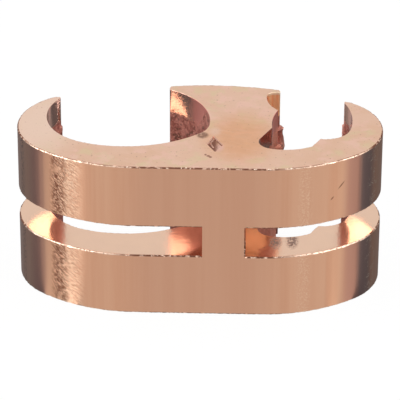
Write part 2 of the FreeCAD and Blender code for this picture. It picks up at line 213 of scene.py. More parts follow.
lip_points = {vertex for face in lips for vertex in face.verts}
moved = {}
for vertex in lip_points:
    wave = noise.noise(vertex.co / LIP_WAVE)
    chip = min(0, noise.noise(vertex.co / LIP_CHIP + CHIP_PLACE) + CHIP_LEVEL)
    move = vertex.normal * raggedness(vertex.co) * (wave + CHIP_DEPTH * chip)
    for face in vertex.link_faces:
        if face not in lips:
            move -= face.normal * move.dot(face.normal)
    moved[vertex] = move
for vertex, move in moved.items():
    vertex.co += move
furthest = max(move.length for move in moved.values())
print("lip points moved:", len(moved), "by up to mm:", round(furthest / MM, 3))

# %% [markdown]
# The top was struck beside the root of the post. Only that spot needs dense mesh:
# four cuts through the flat top leave a small rectangle there, and filling it with
# a grid gives points to press down.

# %% Give the struck spot a grid
PIT = Vector((2.57 * MM, -5.96 * MM, TOP))
PIT_HALF = Vector((1.5 * MM, 2.9 * MM, 0))
PIT_CUTS = 34


def on_top(place):
    return abs(place.z - TOP) < SAME


def top_faces(mesh):
    mesh.normal_update()
    return [face for face in mesh.faces if face.normal.z > 0.999 and on_top(face.verts[0].co)]


for side in (-1, 1):
    cut_across(connector, top_faces(connector), PIT + side * Vector((PIT_HALF.x, 0, 0)), (1, 0, 0))
    cut_across(connector, top_faces(connector), PIT + side * Vector((0, PIT_HALF.y, 0)), (0, 1, 0))
pit_face = min(top_faces(connector), key=lambda face: (face.calc_center_median() - PIT).length)
bmesh.ops.subdivide_edges(connector, edges=pit_face.edges[:], cuts=PIT_CUTS, use_grid_fill=True)
print("faces with the grid:", len(connector.faces))

# %% [markdown]
# The pit is a lozenge between four corners. How far a point lies inside its
# nearest side tells where it is: just outside, the metal was pushed up a little,
# and inside, a steep wall leads down to the floor. The floor is deep on the left
# and shallow on the right, a bent ridge runs across its left part, and a narrow
# furrow follows the side that lies behind on the right. Noise adds grit.

# %% Press the pit into the top
PIT_CORNERS = ((2.25, -3.35), (1.3, -6.15), (2.63, -8.6), (3.85, -6.4))
RIDGE = ((2.34, -4.2), (1.82, -5.5), (2.35, -6.9))
BACK_SIDE = 3
RIM_WIDTH = 0.12 * MM
RIM_HEIGHT = 0.015 * MM
RIM_GRIT = 0.02 * MM
GRIT_SIZE = 0.25 * MM
GRIT_HEIGHT = 0.03 * MM
WALL_WIDTH = 0.125 * MM
FLOOR_DEPTH = 0.03 * MM
LEFT_DEPTH = 0.15 * MM
LEFT_SHARE = 0.75
SLOPE_WIDTH = 1.1 * MM
FURROW_OFF = 0.17 * MM
FURROW_DEPTH = 0.24 * MM
RIDGE_WIDTH = 0.11 * MM
RIDGE_HEIGHT = 0.18 * MM

rim_points = [Vector((x, y, TOP / MM)) * MM for x, y in PIT_CORNERS]
ridge_points = [Vector((x, y, TOP / MM)) * MM for x, y in RIDGE]


def inside_line(place, start, end):
    along = end - start
    return (along.x * (place.y - start.y) - along.y * (place.x - start.x)) / along.length


def off_ridge(place):
    distances = []
    for start, end in zip(ridge_points, ridge_points[1:]):
        near, share = intersect_point_line(place, start, end)
        near = start if share < 0 else end if share > 1 else near
        distances.append((near - place).length)
    return min(distances)


def pit_height(place):
    following = rim_points[1:] + rim_points[:1]
    sides = [inside_line(place, *ends) for ends in zip(rim_points, following)]
    inside = min(sides)
    if inside < -RIM_WIDTH:
        return 0
    grit = noise.noise(place / GRIT_SIZE)
    if inside < 0:
        return RIM_HEIGHT + RIM_GRIT * grit
    left = min(1, max(0, LEFT_SHARE - (place.x - PIT.x) / SLOPE_WIDTH))
    furrow = max(0, 1 - abs(sides[BACK_SIDE] / FURROW_OFF - 1))
    ridge = max(0, 1 - off_ridge(place) / RIDGE_WIDTH)
    depth = max(FLOOR_DEPTH + LEFT_DEPTH * left, FURROW_DEPTH * furrow)
    wall = min(1, inside / WALL_WIDTH)
    return RIDGE_HEIGHT * ridge + GRIT_HEIGHT * grit - wall * depth


pressed = 0
for vertex in connector.verts:
    off = vertex.co - PIT
    if abs(off.x) < 0.999 * PIT_HALF.x and abs(off.y) < 0.999 * PIT_HALF.y and on_top(vertex.co):
        vertex.co.z += pit_height(vertex.co)
        pressed += 1
print("pit points:", pressed)

# %% [markdown]
# Where the cutter broke through behind, it dragged copper up the ends of the hooks
# and the right side of the post. Each burr has a centre where it stands out most,
# which is also as high as it goes, then a reach round that, and how far it stands
# out. The walls there are cut into many thin courses, to have points to move.

# %% Cut the walls behind into courses
COURSE = 0.35 * MM
FIRST_COURSE = 0.12 * MM
BURRS = {
    "post side": (Vector((12.9, 9.0, 20.5)) * MM, 4.6 * MM, 1.45 * MM),
    "left hook end": (Vector((-22.8, 9.4, 21.8)) * MM, 1.9 * MM, 0.3 * MM),
    "right hook end": (Vector((22.5, 9.4, 22.9)) * MM, 1.9 * MM, 0.62 * MM),
}


def beside(place, centre):
    return math.hypot(place.x - centre.x, place.y - centre.y)


def burr_walls(mesh, centre, reach):
    mesh.normal_update()
    upright = [face for face in mesh.faces if abs(face.normal.z) < 0.1]
    between = [face for face in upright if SLOT_ROOF < face.calc_center_median().z < TOP]
    return [face for face in between if beside(face.calc_center_median(), centre) < reach]


for name, (centre, reach, stand) in BURRS.items():
    z = centre.z + FIRST_COURSE
    while z > SLOT_ROOF + LIP:
        cut_across(connector, burr_walls(connector, centre, reach), (0, 0, z), UPWARDS)
        z -= COURSE
    print("wall faces at the", name, len(burr_walls(connector, centre, reach)))

# %% [markdown]
# Each point is then pushed out along the wall's own level direction. The push fades
# towards the rim of the burr, and ends at a clear step on top. Its noise is read
# on squeezed heights, so the lumps come out longer upwards, the way the cutter went.

# %% Drag the burrs up the walls
BURR_SQUEEZE = 0.4
LARGE_LUMP = 0.9 * MM
SMALL_LUMP = 0.35 * MM
LEAST_SHARE = 0.1
STEP = 0.05 * MM


def lumps(place):
    dragged = Vector((place.x, place.y, BURR_SQUEEZE * place.z))
    large, small = noise.noise(dragged / LARGE_LUMP), noise.noise(dragged / SMALL_LUMP)
    return max(LEAST_SHARE, 0.75 + 0.5 * large + 0.35 * small)


for name, (centre, reach, stand) in BURRS.items():
    points = {vertex for face in burr_walls(connector, centre, reach) for vertex in face.verts}
    pushed = {}
    for vertex in points:
        if vertex.co.z < centre.z + STEP:
            fade = max(0, 1 - (beside(vertex.co, centre) / reach) ** 2)
            outward = Vector((vertex.normal.x, vertex.normal.y, 0))
            pushed[vertex] = outward * stand * fade * lumps(vertex.co)
    for vertex, push in pushed.items():
        vertex.co += push
    furthest = max(push.length for push in pushed.values())
    print("burr at the", name, "points:", len(pushed), "up to mm:", round(furthest / MM, 2))

# %% [markdown]
# Material slots follow the way each face was made: sawn ends, the drawn outside,
# the drawn inside of the two grooves, the milled slots, and the lips. The lips
# inside the grooves are too fine to tear, so they share the groove's finish. The
# side walls of the slots are the ones that look exactly sideways.

# %% Sort the faces by the way they were made
SAWN, DRAWN, GROOVE, SLOT, EDGE = range(5)
SIDEWAYS = 0.99999


def finish_of(face):
    place = face.calc_center_median()
    if face in lips:
        return GROOVE if lips[face] else EDGE
    if is_level_face(face):
        at_end = place.z > TOP - MM or place.z < FOOT + MM
        return SAWN if at_end else SLOT
    if SLOT_FLOOR < place.z < SLOT_ROOF and abs(face.normal.x) > SIDEWAYS:
        return SLOT
    return GROOVE if in_groove(face) else DRAWN


connector.normal_update()
counts = [0] * 5
for face in connector.faces:
    face.smooth = True
    face.material_index = finish_of(face)
    counts[face.material_index] += 1
print("faces sawn, drawn, groove, slot, edge:", counts)

# %% [markdown]
# Smooth shading blends the direction of neighbouring faces. That is right round an
# arc, and wrong where a lip meets a flat face, which has to mirror as one plane.
# Those edges, and every real corner, are marked sharp.

# %% Mark the sharp edges
CORNER = math.radians(25)
sharp = 0
for edge in connector.edges:
    kinds = {face in lips for face in edge.link_faces}
    corner = len(edge.link_faces) == 2 and edge.calc_face_angle() > CORNER
    edge.smooth = not (len(kinds) == 2 or (corner and kinds == {False}))
    sharp += not edge.smooth
print("sharp edges:", sharp)

# %% [markdown]
# The mesh becomes one object. It rides on the body `root`, which is the whole
# connector, because nothing on it moves. It stands for the CAD node, which from
# here on isn't shown.

# %% Make it a piece that stands for the CAD node
connector_mesh = bpy.data.meshes.new("connector")
connector.to_mesh(connector_mesh)
connector.free()
connector_piece = bpy.data.objects.new("connector", connector_mesh)
bpy.context.scene.collection.objects.link(connector_piece)
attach(connector_piece, "root")
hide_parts("connector_body")
print("connector faces:", len(connector_mesh.polygons))

# %% [markdown]
# Each finish is a graph of nodes. Two small helpers keep the cells short: one adds
# a node, sets its values and joins its inputs, and one starts a node group with
# named sockets. An effect that several finishes share is a group, built once and
# placed in each with its own values. All lengths are in metres, on Object
# coordinates, so a pattern has its real size and stays put when the view turns.

# %% Helpers for nodes and groups
NOWHERE = (0.0, 0.0, 0.0)


def add(tree, kind, inputs=None, **settings):
    made = tree.nodes.new(kind)
    for name, value in settings.items():
        setattr(made, name, value)
    for key, value in (inputs or {}).items():
        if isinstance(value, bpy.types.NodeSocket):
            tree.links.new(value, made.inputs[key])
        else:
            made.inputs[key].default_value = value
    return made


def start_group(name, sockets):
    tree = bpy.data.node_groups.new(name, "ShaderNodeTree")
    for title, value in sockets.items():
        kind = "NodeSocketVector" if isinstance(value, tuple) else "NodeSocketFloat"
        socket = tree.interface.new_socket(title, in_out="INPUT", socket_type=kind)
        socket.default_value = value
    tree.interface.new_socket("Mask", in_out="OUTPUT", socket_type="NodeSocketFloat")
    return tree, add(tree, "NodeGroupInput").outputs


def finish_group(tree, value):
    add(tree, "NodeGroupOutput", {0: value})
    print("group made:", tree.name)


# %% [markdown]
# The next helpers are the sums that come back again and again. Masks lie between 0
# and 1, so `both` is their product and `either` is the larger one. `plus` adds a
# share of a mask to a value, and `ramp` turns any value into a mask.

# %% Helpers for sums on masks
def maths(tree, operation, *values):
    return add(tree, "ShaderNodeMath", dict(enumerate(values)), operation=operation).outputs[0]


def both(tree, first, second):
    return maths(tree, "MULTIPLY", first, second)


def either(tree, first, second):
    return maths(tree, "MAXIMUM", first, second)


def plus(tree, value, mask, share):
    return maths(tree, "ADD", value, maths(tree, "MULTIPLY", mask, share))


def ramp(tree, value, low, high):
    inputs = {"Value": value, "From Min": low, "From Max": high}
    return add(tree, "ShaderNodeMapRange", inputs, interpolation_type="SMOOTHSTEP").outputs[0]


# %% [markdown]
# Patterns are noise on changed coordinates. Dividing the coordinates by a size
# makes the noise that large, and turning them first makes it lean.

# %% Helpers for coordinates and noise
def vectors(tree, operation, first, second):
    return add(tree, "ShaderNodeVectorMath", {0: first, 1: second}, operation=operation).outputs[0]


def divided(tree, vector, size):
    by = maths(tree, "DIVIDE", 1.0, size)
    return add(tree, "ShaderNodeVectorMath", {0: vector, 3: by}, operation="SCALE").outputs[0]


def rotated(tree, vector, axis, angle):
    inputs = {"Vector": vector, "Angle": angle}
    return add(tree, "ShaderNodeVectorRotate", inputs, rotation_type=axis).outputs[0]


def height_of(tree, vector):
    return add(tree, "ShaderNodeSeparateXYZ", {0: vector}).outputs["Z"]


def cloud(tree, vector, detail):
    inputs = {"Vector": vector, "Scale": 1.0, "Detail": detail}
    return add(tree, "ShaderNodeTexNoise", inputs).outputs[0]


# %% [markdown]
# Drawing through a die leaves fine streaks along the bar, which is upright here.
# Noise does that when it is stretched a lot along Z: it then changes across the
# wall and hardly at all up it.

# %% Group: streaks along the draw
STRETCH = (1, 1, 0.03)
sockets = {"Vector": NOWHERE, "Width": MM, "Low": 0.4, "High": 0.6}
streaks, given = start_group("streaks along the draw", sockets)
stretched = vectors(streaks, "MULTIPLY", given["Vector"], STRETCH)
pattern = cloud(streaks, divided(streaks, stretched, given["Width"]), 2.0)
finish_group(streaks, ramp(streaks, pattern, given["Low"], given["High"]))

# %% [markdown]
# Tarnish, stains and rubbed spots are patches with no direction: the same noise,
# not stretched, and cut off at a level that says how much of the face they cover.

# %% Group: patches
sockets = {"Vector": NOWHERE, "Size": 4 * MM, "Low": 0.45, "High": 0.65}
patches, given = start_group("patches", sockets)
pattern = cloud(patches, divided(patches, given["Vector"], given["Size"]), 3.0)
finish_group(patches, ramp(patches, pattern, given["Low"], given["High"]))

# %% [markdown]
# Most marks sit at one place. This mask is 1 in the middle of an ellipsoid and
# fades to 0 at its rim. A very tall ellipsoid is a band up the whole wall.

# %% Group: place
sockets = {"Vector": NOWHERE, "Centre": NOWHERE, "Reach": (MM, MM, MM), "Core": 0.3}
spot, given = start_group("place", sockets)
offset = vectors(spot, "SUBTRACT", given["Vector"], given["Centre"])
relative = vectors(spot, "DIVIDE", offset, given["Reach"])
distance = add(spot, "ShaderNodeVectorMath", {0: relative}, operation="LENGTH").outputs["Value"]
outside = ramp(spot, distance, given["Core"], 1.0)
finish_group(spot, maths(spot, "SUBTRACT", 1.0, outside))

# %% [markdown]
# The rubbed bands on the front are made of short slanted dents. Turning the
# coordinates about Y and stretching them makes the noise into dashes, and the
# cut-off keeps only its peaks.

# %% Group: slanted dents
sockets = {"Vector": NOWHERE, "Slant": 0.8, "Length": 1.2 * MM, "Width": 0.3 * MM}
sockets |= {"Low": 0.55, "High": 0.7}
dents, given = start_group("slanted dents", sockets)
turned = rotated(dents, given["Vector"], "Y_AXIS", given["Slant"])
sizes = {"X": given["Length"], "Y": given["Length"], "Z": given["Width"]}
sizes = add(dents, "ShaderNodeCombineXYZ", sizes).outputs[0]
pattern = cloud(dents, vectors(dents, "DIVIDE", turned, sizes), 2.0)
finish_group(dents, ramp(dents, pattern, given["Low"], given["High"]))

# %% [markdown]
# A finish starts with its Object coordinates and ends in one Principled BSDF. The
# two groups used most get a short form each, in millimetres: `patchy` for patches
# all over, and `around` for a mark at one place.

# %% Helpers for finishes
def start_finish(name, colour, roughness):
    material = bpy.data.materials.new(name)
    material.use_nodes = True
    tree = material.node_tree
    shader = tree.nodes["Principled BSDF"]
    shader.inputs["Base Color"].default_value = (*colour, 1)
    shader.inputs["Metallic"].default_value = 1
    shader.inputs["Roughness"].default_value = roughness
    here = add(tree, "ShaderNodeTexCoord").outputs["Object"]
    connector_mesh.materials.append(material)
    return tree, shader, here


def masked(tree, group, here, **values):
    made = add(tree, "ShaderNodeGroup", node_tree=group)
    tree.links.new(here, made.inputs["Vector"])
    for key, value in values.items():
        made.inputs[key.capitalize()].default_value = value
    return made.outputs[0]


def at(x, y, z):
    return (x * MM, y * MM, z * MM)


def patchy(tree, here, size, low, high):
    return masked(tree, patches, here, size=size * MM, low=low, high=high)


def around(tree, here, centre, reach, core):
    return masked(tree, spot, here, centre=at(*centre), reach=at(*reach), core=core)


# %% [markdown]
# Colours are laid over one another with masks, from the bare copper outwards, as
# paint would be. `over` mixes in one tone. `painted` takes a list of layers, each
# with its mask, its tone and its strength, and lays them on in that order.

# %% Helpers for colour and relief
def over(tree, amount, below, above, strength=1.0):
    factor = amount if strength == 1.0 else maths(tree, "MULTIPLY", amount, strength)
    below, above = [(*tone, 1) if isinstance(tone, tuple) else tone for tone in (below, above)]
    inputs = {0: factor, 6: below, 7: above}
    return add(tree, "ShaderNodeMix", inputs, data_type="RGBA").outputs[2]


def painted(tree, colour, layers):
    for mask, tone, strength in layers:
        colour = over(tree, mask, colour, tone, strength)
    return colour


def bump(tree, shader, height, distance):
    made = add(tree, "ShaderNodeBump", {"Height": height, "Distance": distance})
    tree.links.new(made.outputs[0], shader.inputs["Normal"])


# %% [markdown]
# A sawn end is bright, pale copper, because the metal is fresh there. The clouds
# are faint tarnish, some yellower and some pinker, and warmer round the root of the
# post, where the photograph shows it. The pink ones read the noise a little way off,
# so that they don't follow the others. A few dark specks keep it from looking like
# plastic. Towards the left end the top is painted paler: painted light, as if it
# mirrored a brighter studio there.

# %% Sawn copper: the top and bottom
SAWN_COPPER = (0.93, 0.61, 0.45)
SAWN_ROUGHNESS = 0.34
tree, shader, here = start_finish("sawn copper", SAWN_COPPER, SAWN_ROUGHNESS)
elsewhere = vectors(tree, "ADD", here, at(7, 3, 0))
clouds = patchy(tree, here, size=5, low=0.4, high=0.7)
pale = patchy(tree, here, size=3.1, low=0.5, high=0.7)
pink = patchy(tree, elsewhere, size=2.3, low=0.5, high=0.66)
blotches = patchy(tree, here, size=1.6, low=0.35, high=0.6)
specks = patchy(tree, here, size=0.45, low=0.66, high=0.7)
# painted light: the left end of the top is painted paler
paler_left_light = around(tree, here, centre=(-26, 0, 27), reach=(9, 16, 60), core=0.2)
warm = around(tree, here, centre=(6.5, -4, 27), reach=(8, 11, 3), core=0.2)
layers = [
    (clouds, (0.88, 0.55, 0.37), 0.65),
    (pale, (0.86, 0.66, 0.41), 0.7),
    (pink, (1.0, 0.64, 0.52), 0.6),
    (paler_left_light, (1.0, 0.74, 0.59), 0.9),
    (warm, (0.9, 0.47, 0.26), 0.85),
    (both(tree, warm, blotches), (0.84, 0.46, 0.27), 0.6),
    (specks, (0.45, 0.22, 0.15), 0.6),
]
colour = painted(tree, SAWN_COPPER, layers)
print("tones on the sawn copper:", len(layers))

# %% [markdown]
# The saw's teeth leave shallow parallel scratches. The coordinates are turned a
# little about Z and squeezed along the cut, so that the noise comes out in lines.

# %% Sawn copper: saw marks
CUT_ANGLE = 0.3
CUT_SQUEEZE = (0.12, 1, 1)
cut_way = vectors(tree, "MULTIPLY", rotated(tree, here, "Z_AXIS", CUT_ANGLE), CUT_SQUEEZE)
saw_marks = patchy(tree, cut_way, size=0.6, low=0.45, high=0.75)
colour = over(tree, saw_marks, colour, (1.0, 0.74, 0.58), 0.12)
print("saw marks turned by degrees:", round(math.degrees(CUT_ANGLE)))

# %% [markdown]
# Something struck the top beside the post. The pit itself is in the mesh, and its
# colour follows its depth: the deeper the metal, the darker it is painted. Its
# surroundings get what a blow leaves: a dark smear, a pink bruise, a pale spot, and
# a scratch in three short pieces.

# %% Sawn copper: marks round the pit
SCRATCH_PIECES = ((1.15, -9.6, 0.25), (1.6, -10.0, 0.4), (1.95, -10.35, 0.35))
near_pit = around(tree, here, centre=(2.6, -6, 27), reach=(2, 3.4, 1), core=0.8)
high_up = ramp(tree, height_of(tree, here), TOP - 0.16 * MM, TOP - 0.01 * MM)
# darker the deeper the pit goes
knock = both(tree, near_pit, maths(tree, "SUBTRACT", 1.0, high_up))
smear = around(tree, here, centre=(0.5, -3.2, 27), reach=(1.2, 1.3, 1), core=0.5)
polish = around(tree, here, centre=(2.5, -1.9, 27), reach=(1.3, 2.2, 1), core=0.2)
bruise = around(tree, here, centre=(3.2, -7.2, 27), reach=(1.1, 2, 1), core=0.3)
crumbs = patchy(tree, here, size=0.5, low=0.15, high=0.5)
layers = [
    (polish, (0.95, 0.68, 0.54), 0.5),
    (bruise, (0.9, 0.55, 0.47), 0.7),
    (knock, (0.22, 0.085, 0.055), 0.95),
    (both(tree, smear, crumbs), (0.31, 0.155, 0.1), 0.9),
]
for x, y, half in SCRATCH_PIECES:
    scratch = around(tree, here, centre=(x, y, 27), reach=(half, 0.35, 1), core=0.4)
    layers.append((scratch, (0.28, 0.09, 0.055), 0.85))
colour = painted(tree, colour, layers)
print("marks round the pit:", len(layers))

# %% [markdown]
# The finish ends in its relief. A Bump node's distance is the real depth that a
# height of 1 stands for, here a few thousandths of a millimetre: enough to break a
# mirror image, and far too little for the mesh.

# %% Sawn copper: roughness and grain
GRAIN_DEPTH = 0.004 * MM
tree.links.new(colour, shader.inputs["Base Color"])
tree.links.new(plus(tree, SAWN_ROUGHNESS, knock, 0.2), shader.inputs["Roughness"])
grain = patchy(tree, here, size=0.5, low=0.2, high=0.8)
bump(tree, shader, plus(tree, grain, saw_marks, 0.5), GRAIN_DEPTH)
print("sawn copper nodes:", len(tree.nodes))

# %% [markdown]
# The die drags fine streaks up the outside walls, and they tarnish a shade browner
# than the sawn ends. Towards both ends of the front the brown turns red, and on the
# right it ends in a slate grey. Each stretch is a band, a very tall ellipsoid.

# %% Drawn copper: tone and streaks
DRAWN_COPPER = (0.86, 0.53, 0.38)
DRAWN_ROUGHNESS = 0.28
HALF_WAY_UP = 13.5
BAND_DEPTH = 9
BAND_HEIGHT = 200
tree, shader, here = start_finish("drawn copper", DRAWN_COPPER, DRAWN_ROUGHNESS)


def band(x, y, half_width, core=0.3):
    reach = (half_width, BAND_DEPTH, BAND_HEIGHT)
    return around(tree, here, centre=(x, y, HALF_WAY_UP), reach=reach, core=core)


broad = masked(tree, streaks, here, width=2.2 * MM, low=0.35, high=0.65)
fine = masked(tree, streaks, here, width=0.35 * MM, low=0.35, high=0.7)
layers = [
    (broad, (0.8, 0.46, 0.32), 0.75),
    (fine, (0.9, 0.6, 0.45), 0.15),
    (band(1, -14, 15, 0.5), (0.72, 0.43, 0.32), 0.6),
    (band(-25.8, -5.3, 2.0), (0.62, 0.33, 0.28), 0.75),
    (band(25.0, -7.0, 2.4), (0.62, 0.33, 0.28), 0.75),
    (band(26.9, -5.8, 1.5), (0.42, 0.33, 0.34), 0.8),
]
colour = painted(tree, DRAWN_COPPER, layers)
print("tones on the drawn copper:", len(layers))

# %% [markdown]
# On its way through other machines the bar was rubbed along two upright bands, one
# near the left end and a fainter one on the right. Up close they are hundreds of
# short slanted dents, dark in the hollows. Round the left band a broad painted
# highlight lies on the front, brightest on the ridges beside the dents, with darker
# hairs in it. The outermost stretch at each end only has flecks, dark on the left,
# light on the right.

# %% Drawn copper: rubbed bands
hollows = masked(tree, dents, here, slant=-0.75, length=0.65 * MM, width=0.16 * MM, low=0.45, high=0.51)
ridges = masked(tree, dents, here, slant=-0.6, length=0.8 * MM, width=0.17 * MM, low=0.4, high=0.54)
hairs = masked(tree, dents, here, slant=-0.5, length=0.9 * MM, width=0.14 * MM, low=0.48, high=0.58)
flecks = patchy(tree, here, size=0.22, low=0.5, high=0.62)
clusters = patchy(tree, here, size=2.6, low=0.2, high=0.48)
few_flecks = both(tree, flecks, patchy(tree, here, size=1.1, low=0.5, high=0.6))
left_rub = both(tree, band(-22.3, -10, 1.8, 0.25), clusters)
# painted highlight: a paler band with bright ridges stands for light on the rubbed metal
left_painted_highlight = band(-20.5, -11.4, 2.9, 0.15)
right_rub = both(tree, band(17.1, -13, 1.5), flecks)
layers = [
    (left_painted_highlight, (0.92, 0.58, 0.43), 0.6),
    (both(tree, left_painted_highlight, ridges), (1.0, 0.72, 0.55), 1.0),
    (both(tree, left_painted_highlight, hairs), (0.55, 0.29, 0.19), 0.6),
    (both(tree, left_rub, hollows), (0.26, 0.11, 0.07), 0.95),
    (right_rub, (1.0, 0.76, 0.6), 0.5),
    (both(tree, band(-28.4, -2.5, 0.5), flecks), (0.25, 0.15, 0.12), 0.9),
    (both(tree, band(27.8, -3.9, 1.1), few_flecks), (1.0, 0.86, 0.74), 1.0),
]
colour = painted(tree, colour, layers)
print("layers of rubbing:", len(layers))

# %% [markdown]
# Two short scratches lean over on the right of the front. Turning the coordinates
# about Y first makes an ellipsoid lean, and a thin one is a scratch. Its centre is
# turned by the same angle, to stay where it was.

# %% Drawn copper: two scratches
LEAN = -0.7
SCRATCHES = ((22.8, -10.4, 22.4, 1.1), (21.4, -11.3, 20.4, 0.5))
leaning = rotated(tree, here, "Y_AXIS", LEAN)
for x, y, z, half in SCRATCHES:
    centre = Matrix.Rotation(LEAN, 3, "Y") @ Vector((x, y, z))
    scratch = around(tree, leaning, centre=centre, reach=(0.17, 1.5, half), core=0.3)
    colour = over(tree, scratch, colour, (0.26, 0.11, 0.08), 0.8)
print("scratches:", len(SCRATCHES))

# %% [markdown]
# Height follows the same masks, so that a dent which looks dark also bends what it
# mirrors. The broad streaks are shallow waves, and the dents go down from there.

# %% Drawn copper: relief
STREAK_DEPTH = 0.006 * MM
tree.links.new(colour, shader.inputs["Base Color"])
rubbed = both(tree, either(tree, left_rub, left_painted_highlight), maths(tree, "ADD", hollows, ridges))
height = plus(tree, broad, fine, 0.1)
height = plus(tree, height, rubbed, -2.5)
height = plus(tree, height, right_rub, -1.2)
bump(tree, shader, height, STREAK_DEPTH)
print("drawn copper nodes:", len(tree.nodes))

# %% [markdown]
# The two grooves never get wiped, so their walls keep a redder, darker skin, and
# below a line a few millimetres under the top they are darker still: stained and
# gritty, and painted shade down in the grooves as well. The line wavers, because the
# height is shifted by a little noise. It runs higher at three places: the right
# flank of the post, the right hook and the left flank of the post, where the painted
# shade reaches higher. Shifting the height down there moves the line up.

# %% Groove copper: where the stain and painted shade end
GROOVE_COPPER = (0.74, 0.43, 0.33)
CLEAN_ROUGHNESS = 0.13
STAINED_ROUGHNESS = 0.72
WAVER = 0.5 * MM
HIGHER_STAIN_AND_SHADE = ((12.5, 3, 4, 9, 1.2), (23.5, 7.5, 3, 4, 1.0), (1.6, 3, 3.2, 8, 4.0))
tree, shader, here = start_finish("groove copper", GROOVE_COPPER, CLEAN_ROUGHNESS)
up = height_of(tree, here)
shifted = plus(tree, up, patchy(tree, here, size=0.9, low=0.2, high=0.8), WAVER)
for x, y, wide, deep, rise in HIGHER_STAIN_AND_SHADE:
    higher = around(tree, here, centre=(x, y, 24), reach=(wide, deep, 60), core=0.3)
    shifted = plus(tree, shifted, higher, -rise * MM)
# below this line the groove is painted darker: stain and painted shade
clean_and_lit = ramp(tree, shifted, 22.7 * MM, 23.3 * MM)
print("places where the stain runs higher:", len(HIGHER_STAIN_AND_SHADE))

# %% [markdown]
# The stain is dark red grit with lighter flakes, black pits and a few glints of
# bare metal, and its darkness is partly painted shade. It is redder on the post's
# right side, and duller on the burr there.

# %% Groove copper: the stained skin and painted shade
STAIN_AND_SHADE_COPPER = (0.56, 0.25, 0.2)
grit = patchy(tree, here, size=0.4, low=0.35, high=0.65)
flakes = patchy(tree, here, size=1.3, low=0.48, high=0.6)
pits = patchy(tree, here, size=0.8, low=0.56, high=0.64)
glints = patchy(tree, here, size=0.3, low=0.64, high=0.68)
redder = around(tree, here, centre=(11, 0, 15), reach=(5, 12, 60), core=0.6)
dull = around(tree, here, centre=(14.2, 8.4, 17.5), reach=(1.6, 5, 5), core=0.4)
layers = [
    (grit, (0.4, 0.16, 0.13), 1.0),
    (flakes, (0.78, 0.4, 0.33), 0.5),
    (pits, (0.2, 0.11, 0.08), 0.6),
    (redder, (0.66, 0.29, 0.2), 0.7),
    (glints, (0.95, 0.6, 0.48), 0.8),
    (dull, (0.42, 0.34, 0.28), 0.5),
]
# these tones are stain and painted shade together
stain_and_shade = painted(tree, STAIN_AND_SHADE_COPPER, layers)
print("tones in the stain:", len(layers))

# %% [markdown]
# Above the line the skin is clean and mirrors the studio. The post's flanks are
# redder. The right hook's tip is painted pale, a painted highlight where its rim
# catches the lamps. The small seat in the post's right flank is painted bright
# orange with upright streaks, a painted glow on its satin skin, and a painted
# highlight runs along its upper brim.

# %% Groove copper: the clean skin and painted highlights
# painted glow on the seat, and a painted highlight along its brim
near_seat = around(tree, here, centre=(12, 12, 25), reach=(2.6, 1.8, 7), core=0.6)
seat_glow = both(tree, clean_and_lit, near_seat)
seat_lines = masked(tree, streaks, here, width=0.5 * MM, low=0.4, high=0.6)
brim_highlight = both(tree, seat_glow, ramp(tree, up, TOP - 0.5 * MM, TOP - 0.3 * MM))
left_flank = around(tree, here, centre=(-0.9, 5.4, 24), reach=(3.2, 6, 60), core=0.5)
right_flank = around(tree, here, centre=(12.2, 4.2, 24), reach=(1.6, 2.8, 60), core=0.6)
flank = either(tree, left_flank, right_flank)
# painted highlight on the right hook's tip
tip_highlight = around(tree, here, centre=(22.6, 9.3, 24), reach=(1.7, 1.7, 60), core=0.5)
layers = [
    (clean_and_lit, over(tree, flank, GROOVE_COPPER, (0.9, 0.37, 0.3)), 1.0),
    (tip_highlight, (0.95, 0.68, 0.6), 0.8),
    (seat_glow, over(tree, seat_lines, (1.0, 0.66, 0.38), (1.0, 0.42, 0.2), 0.8), 1.0),
    (brim_highlight, (1.0, 0.86, 0.66), 0.8),
]
colour = painted(tree, stain_and_shade, layers)
print("tones of the clean skin:", len(layers))

# %% [markdown]
# What is stained is also rough, and so are the places that look satin. The grit
# stands up where the wall is stained and nearly vanishes where it is clean.

# %% Groove copper: roughness and grit
GRIT_DEPTH = 0.02 * MM
rough = plus(tree, STAINED_ROUGHNESS, clean_and_lit, CLEAN_ROUGHNESS - STAINED_ROUGHNESS)
rough = plus(tree, rough, seat_glow, 0.45)
rough = plus(tree, rough, both(tree, flank, clean_and_lit), 0.3)
rough = plus(tree, rough, tip_highlight, 0.5)
tree.links.new(rough, shader.inputs["Roughness"])
tree.links.new(colour, shader.inputs["Base Color"])
bump(tree, shader, both(tree, grit, maths(tree, "SUBTRACT", 1.15, clean_and_lit)), GRIT_DEPTH)
print("groove copper nodes:", len(tree.nodes))

# %% [markdown]
# A milling cutter leaves the slots almost like a mirror: they show the roof of the
# slot, the post and the cards as shapes with slightly soft borders. The cutter's
# chatter bends them a little. Two patches on the right floor are scuffed grey, and
# the floor left of the bridge is painted browner: a painted reflection of the copper
# walls beside it.

# %% Slot copper: the milled tie slots
SLOT_COPPER = (1.0, 0.68, 0.5)
SLOT_ROUGHNESS = 0.14
CHATTER_DEPTH = 0.006 * MM
floor_z = SLOT_FLOOR / MM
tree, shader, here = start_finish("slot copper", SLOT_COPPER, SLOT_ROUGHNESS)
left_scuff = around(tree, here, centre=(12.4, -9.2, floor_z), reach=(1.4, 2.8, 1), core=0.2)
right_scuff = around(tree, here, centre=(15.2, -8.6, floor_z), reach=(1.3, 3.2, 1), core=0.4)
crumbs = patchy(tree, here, size=0.45, low=0.4, high=0.52)
dulled = both(tree, either(tree, left_scuff, right_scuff), either(tree, crumbs, 0.3))
film = patchy(tree, here, size=2.5, low=0.4, high=0.7)
